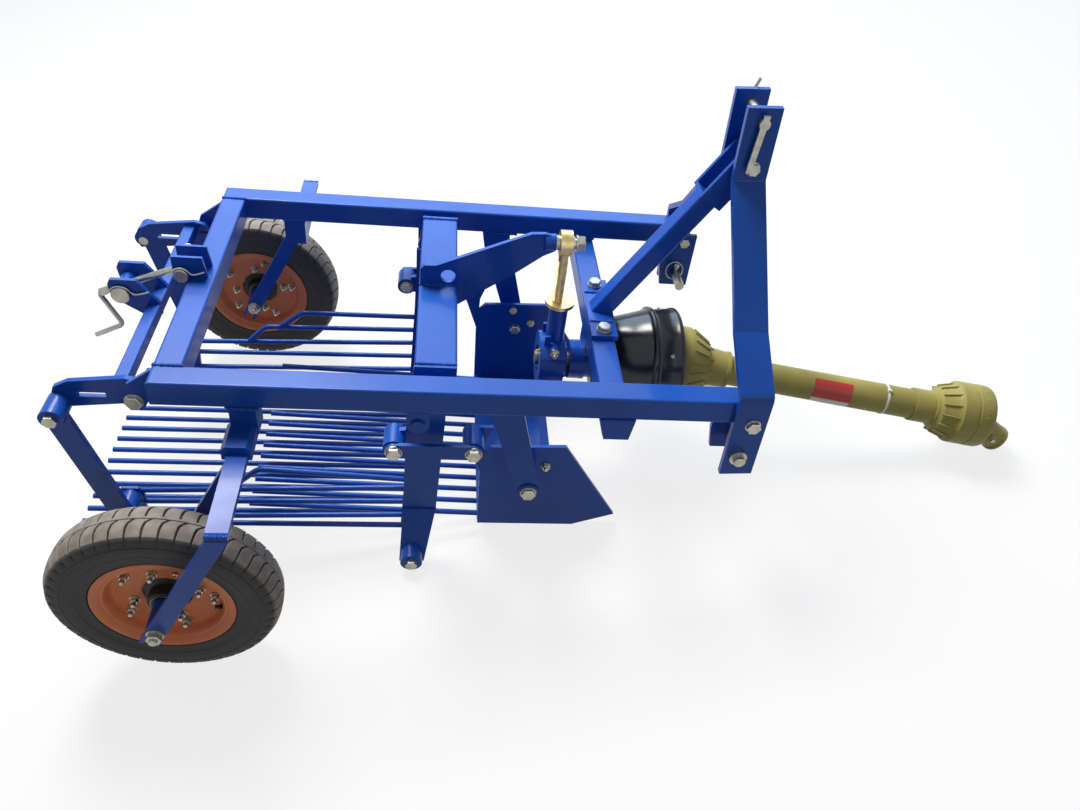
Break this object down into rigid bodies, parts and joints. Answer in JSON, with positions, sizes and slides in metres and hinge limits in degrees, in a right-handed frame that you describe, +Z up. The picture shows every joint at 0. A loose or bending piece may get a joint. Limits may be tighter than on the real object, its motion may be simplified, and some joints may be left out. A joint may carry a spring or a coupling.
{
  "type": "tractor potato digger",
  "caption": "Three-point mounted potato digger: a square-tube frame on wheels with a swinging share and rod sieve driven by a guarded power shaft.",
  "frame": {"origin": "middle of the digger's outline on the ground it is parked on", "axes": "+X forward to the tractor, +Y to the machine's left, +Z up"},
  "size_m": [2.0588, 1.18, 0.8512],
  "materials": {
    "blue_paint": "gloss enamel",
    "orange_paint": "satin enamel",
    "black_paint": "satin enamel",
    "tyre": "moulded rubber",
    "black_plastic": "moulded, glossy",
    "yellow_plastic": "moulded, satin",
    "yellow_zinc": "yellow chromate plated",
    "zinc_steel": "zinc plated",
    "bare_steel": "machined"
  },
  "bodies": {
    "frame": {"rear_beam": "blue_paint", "side_beam_right": "blue_paint", "side_beam_left": "blue_paint", "front_cross_member": "blue_paint", "mast_leg_right": "blue_paint", "hitch_plate_right": "blue_paint", "lower_pin_right": "zinc_steel", "mast_leg_left": "blue_paint", "hitch_plate_left": "blue_paint", "lower_pin_left": "zinc_steel", "top_link_pin": "zinc_steel", "mast_brace": "blue_paint", "input_bearing": "blue_paint", "shaft_guard": "black_plastic", "rocker_pivot_right": "blue_paint", "rocker_pivot_left": "blue_paint", "front_hanger_right": "blue_paint", "front_hanger_left": "blue_paint", "lift_tabs": "blue_paint", "spindle_bracket": "blue_paint", "wheel_fork_right": "blue_paint", "wheel_fork_left": "blue_paint"},
    "wheel_right": {"tyre_right": "tyre", "rim_right": "orange_paint", "hub_right": "black_paint"},
    "wheel_left": {"tyre_left": "tyre", "rim_left": "orange_paint", "hub_left": "black_paint"},
    "input_shaft": {"input_shaft": "bare_steel"},
    "rocker": {"rocker_tube": "blue_paint", "rocker_leg_right": "blue_paint", "rocker_leg_left": "blue_paint", "rocker_arm": "blue_paint"},
    "con_rod": {"rod_end": "yellow_zinc", "con_rod": "blue_paint"},
    "links": {"link_bar_right": "blue_paint", "link_bar_left": "blue_paint"},
    "share": {"share_side_right": "blue_paint", "share_side_left": "blue_paint", "share_blade": "blue_paint", "share_rods": "blue_paint"},
    "sieve_pins": {"sieve_pins": "zinc_steel"},
    "sieve": {"sieve_shaft": "blue_paint", "sieve_floor": "blue_paint", "sieve_side_right": "blue_paint", "sieve_side_left": "blue_paint"},
    "lift_frame": {"lift_frame": "blue_paint", "spindle_nut": "blue_paint"},
    "hanger_pins": {"hanger_pins": "zinc_steel"},
    "rear_hangers": {"rear_hanger_right": "blue_paint", "rear_hanger_left": "blue_paint"},
    "lift_spindle": {"lift_spindle": "zinc_steel"},
    "pto_cross": {"pto_cross": "zinc_steel"},
    "pto_shaft": {"pto_inner_cone": "yellow_plastic", "pto_tube": "yellow_plastic", "pto_outer_cone": "yellow_plastic"},
    "pto_yoke": {"pto_yoke": "bare_steel"}
  },
  "joints": [
    {"name": "rocker_swing", "type": "hinge", "parent": "frame", "child": "rocker", "pos_m": [-0.28157, 0, 0.42438], "axis": [0, 1, 0], "range_deg": [-1.65, 1.65]},
    {"name": "con_rod_swing", "type": "hinge", "parent": "rocker", "child": "con_rod", "pos_m": [0.02286, 0, 0.5709], "axis": [0, 1, 0], "range_deg": [-0.61, 0.61]},
    {"name": "link_swing", "type": "hinge", "parent": "rocker", "child": "links", "pos_m": [-0.34285, 0, 0.33076], "axis": [0, 1, 0], "range_deg": [-0.058, 0.058]},
    {"name": "share_swing", "type": "hinge", "parent": "frame", "child": "share", "pos_m": [-0.09288, 0, 0.18216], "axis": [0, 1, 0], "range_deg": [-1.61, 1.61]},
    {"name": "sieve_pin_turn", "type": "hinge", "parent": "rocker", "child": "sieve_pins", "pos_m": [-0.35286, 0, 0.02865], "axis": [0, 1, 0], "range_deg": [-2, 2]},
    {"name": "sieve_tilt", "type": "hinge", "parent": "sieve_pins", "child": "sieve", "pos_m": [-0.35286, 0, 0.02865], "axis": [0, 1, 0], "range_deg": [-1.6, 1.6]},
    {"name": "lift_tilt", "type": "hinge", "parent": "frame", "child": "lift_frame", "pos_m": [-0.77483, 0, 0.49987], "axis": [0, 1, 0], "range_deg": [-6, 6]},
    {"name": "hanger_pin_turn", "type": "hinge", "parent": "lift_frame", "child": "hanger_pins", "pos_m": [-0.91177, 0, 0.4981], "axis": [0, 1, 0], "range_deg": [-7.23, 7.23]},
    {"name": "hanger_swing", "type": "hinge", "parent": "hanger_pins", "child": "rear_hangers", "pos_m": [-0.91177, 0, 0.4981], "axis": [0, 1, 0], "range_deg": [-2.58, 2.58]},
    {"name": "spindle_swing", "type": "hinge", "parent": "frame", "child": "lift_spindle", "pos_m": [-0.72567, 0, 0.5873], "axis": [0, 1, 0], "range_deg": [-2.92, 2.92]},
    {"name": "input_spin", "type": "hinge", "parent": "frame", "child": "input_shaft", "pos_m": [-0.01503, 0, 0.27824], "axis": [0.9879, 0, -0.1552], "continuous": true},
    {"name": "pto_yaw", "type": "hinge", "parent": "frame", "child": "pto_cross", "pos_m": [0.30109, 0, 0.22856], "axis": [0, 0, 1], "range_deg": [-14, 34]},
    {"name": "pto_lift", "type": "hinge", "parent": "pto_cross", "child": "pto_shaft", "pos_m": [0.30109, 0, 0.22856], "axis": [0, -1, 0], "range_deg": [0, 20]},
    {"name": "pto_yoke_lift", "type": "hinge", "parent": "pto_shaft", "child": "pto_yoke", "pos_m": [0.92894, -0.11076, 0.1019], "axis": [0, -1, 0], "range_deg": [0, 45]},
    {"name": "wheel_right_spin", "type": "hinge", "parent": "frame", "child": "wheel_right", "pos_m": [-0.7665, -0.489, 0.205], "axis": [0, 1, 0], "continuous": true},
    {"name": "wheel_left_spin", "type": "hinge", "parent": "frame", "child": "wheel_left", "pos_m": [-0.7665, 0.489, 0.205], "axis": [0, 1, 0], "continuous": true}
  ],
  "couplings": [
    {"joint": "con_rod_swing", "follows": "rocker_swing", "ratio": -0.34915},
    {"joint": "share_swing", "follows": "rocker_swing", "ratio": -0.94444},
    {"joint": "link_swing", "follows": "rocker_swing", "ratio": 0.02288},
    {"joint": "sieve_pin_turn", "follows": "rocker_swing", "ratio": -1.1775},
    {"joint": "hanger_swing", "follows": "rocker_swing", "ratio": 1.5215},
    {"joint": "sieve_tilt", "follows": "lift_tilt", "ratio": 0.25781},
    {"joint": "hanger_pin_turn", "follows": "lift_tilt", "ratio": -1.1777},
    {"joint": "spindle_swing", "follows": "lift_tilt", "ratio": 0.47337}
  ]
}
